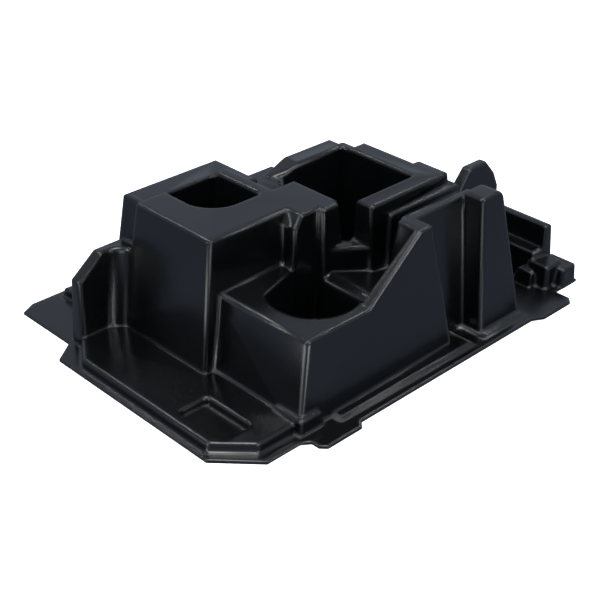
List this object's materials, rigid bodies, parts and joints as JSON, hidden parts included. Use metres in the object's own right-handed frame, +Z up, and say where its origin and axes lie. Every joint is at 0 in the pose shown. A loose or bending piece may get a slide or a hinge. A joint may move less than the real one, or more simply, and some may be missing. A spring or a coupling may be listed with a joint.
{
  "type": "tool case insert tray",
  "caption": "Thermoformed plastic insert tray with raised hollow blocks, deep pockets and a thin flange, made to hold a power tool inside a carrying case.",
  "frame": {"origin": "middle of the overall size in plan, on the rest plane under the flange", "axes": "+X along the long side towards the shelf end, +Y from the cut-out front edge to the plain back edge, +Z up out of the case"},
  "size_m": [0.3712, 0.2838, 0.11],
  "materials": {
    "black_plastic": "satin"
  },
  "bodies": {
    "root": {"tray": "black_plastic"}
  },
  "joints": []
}
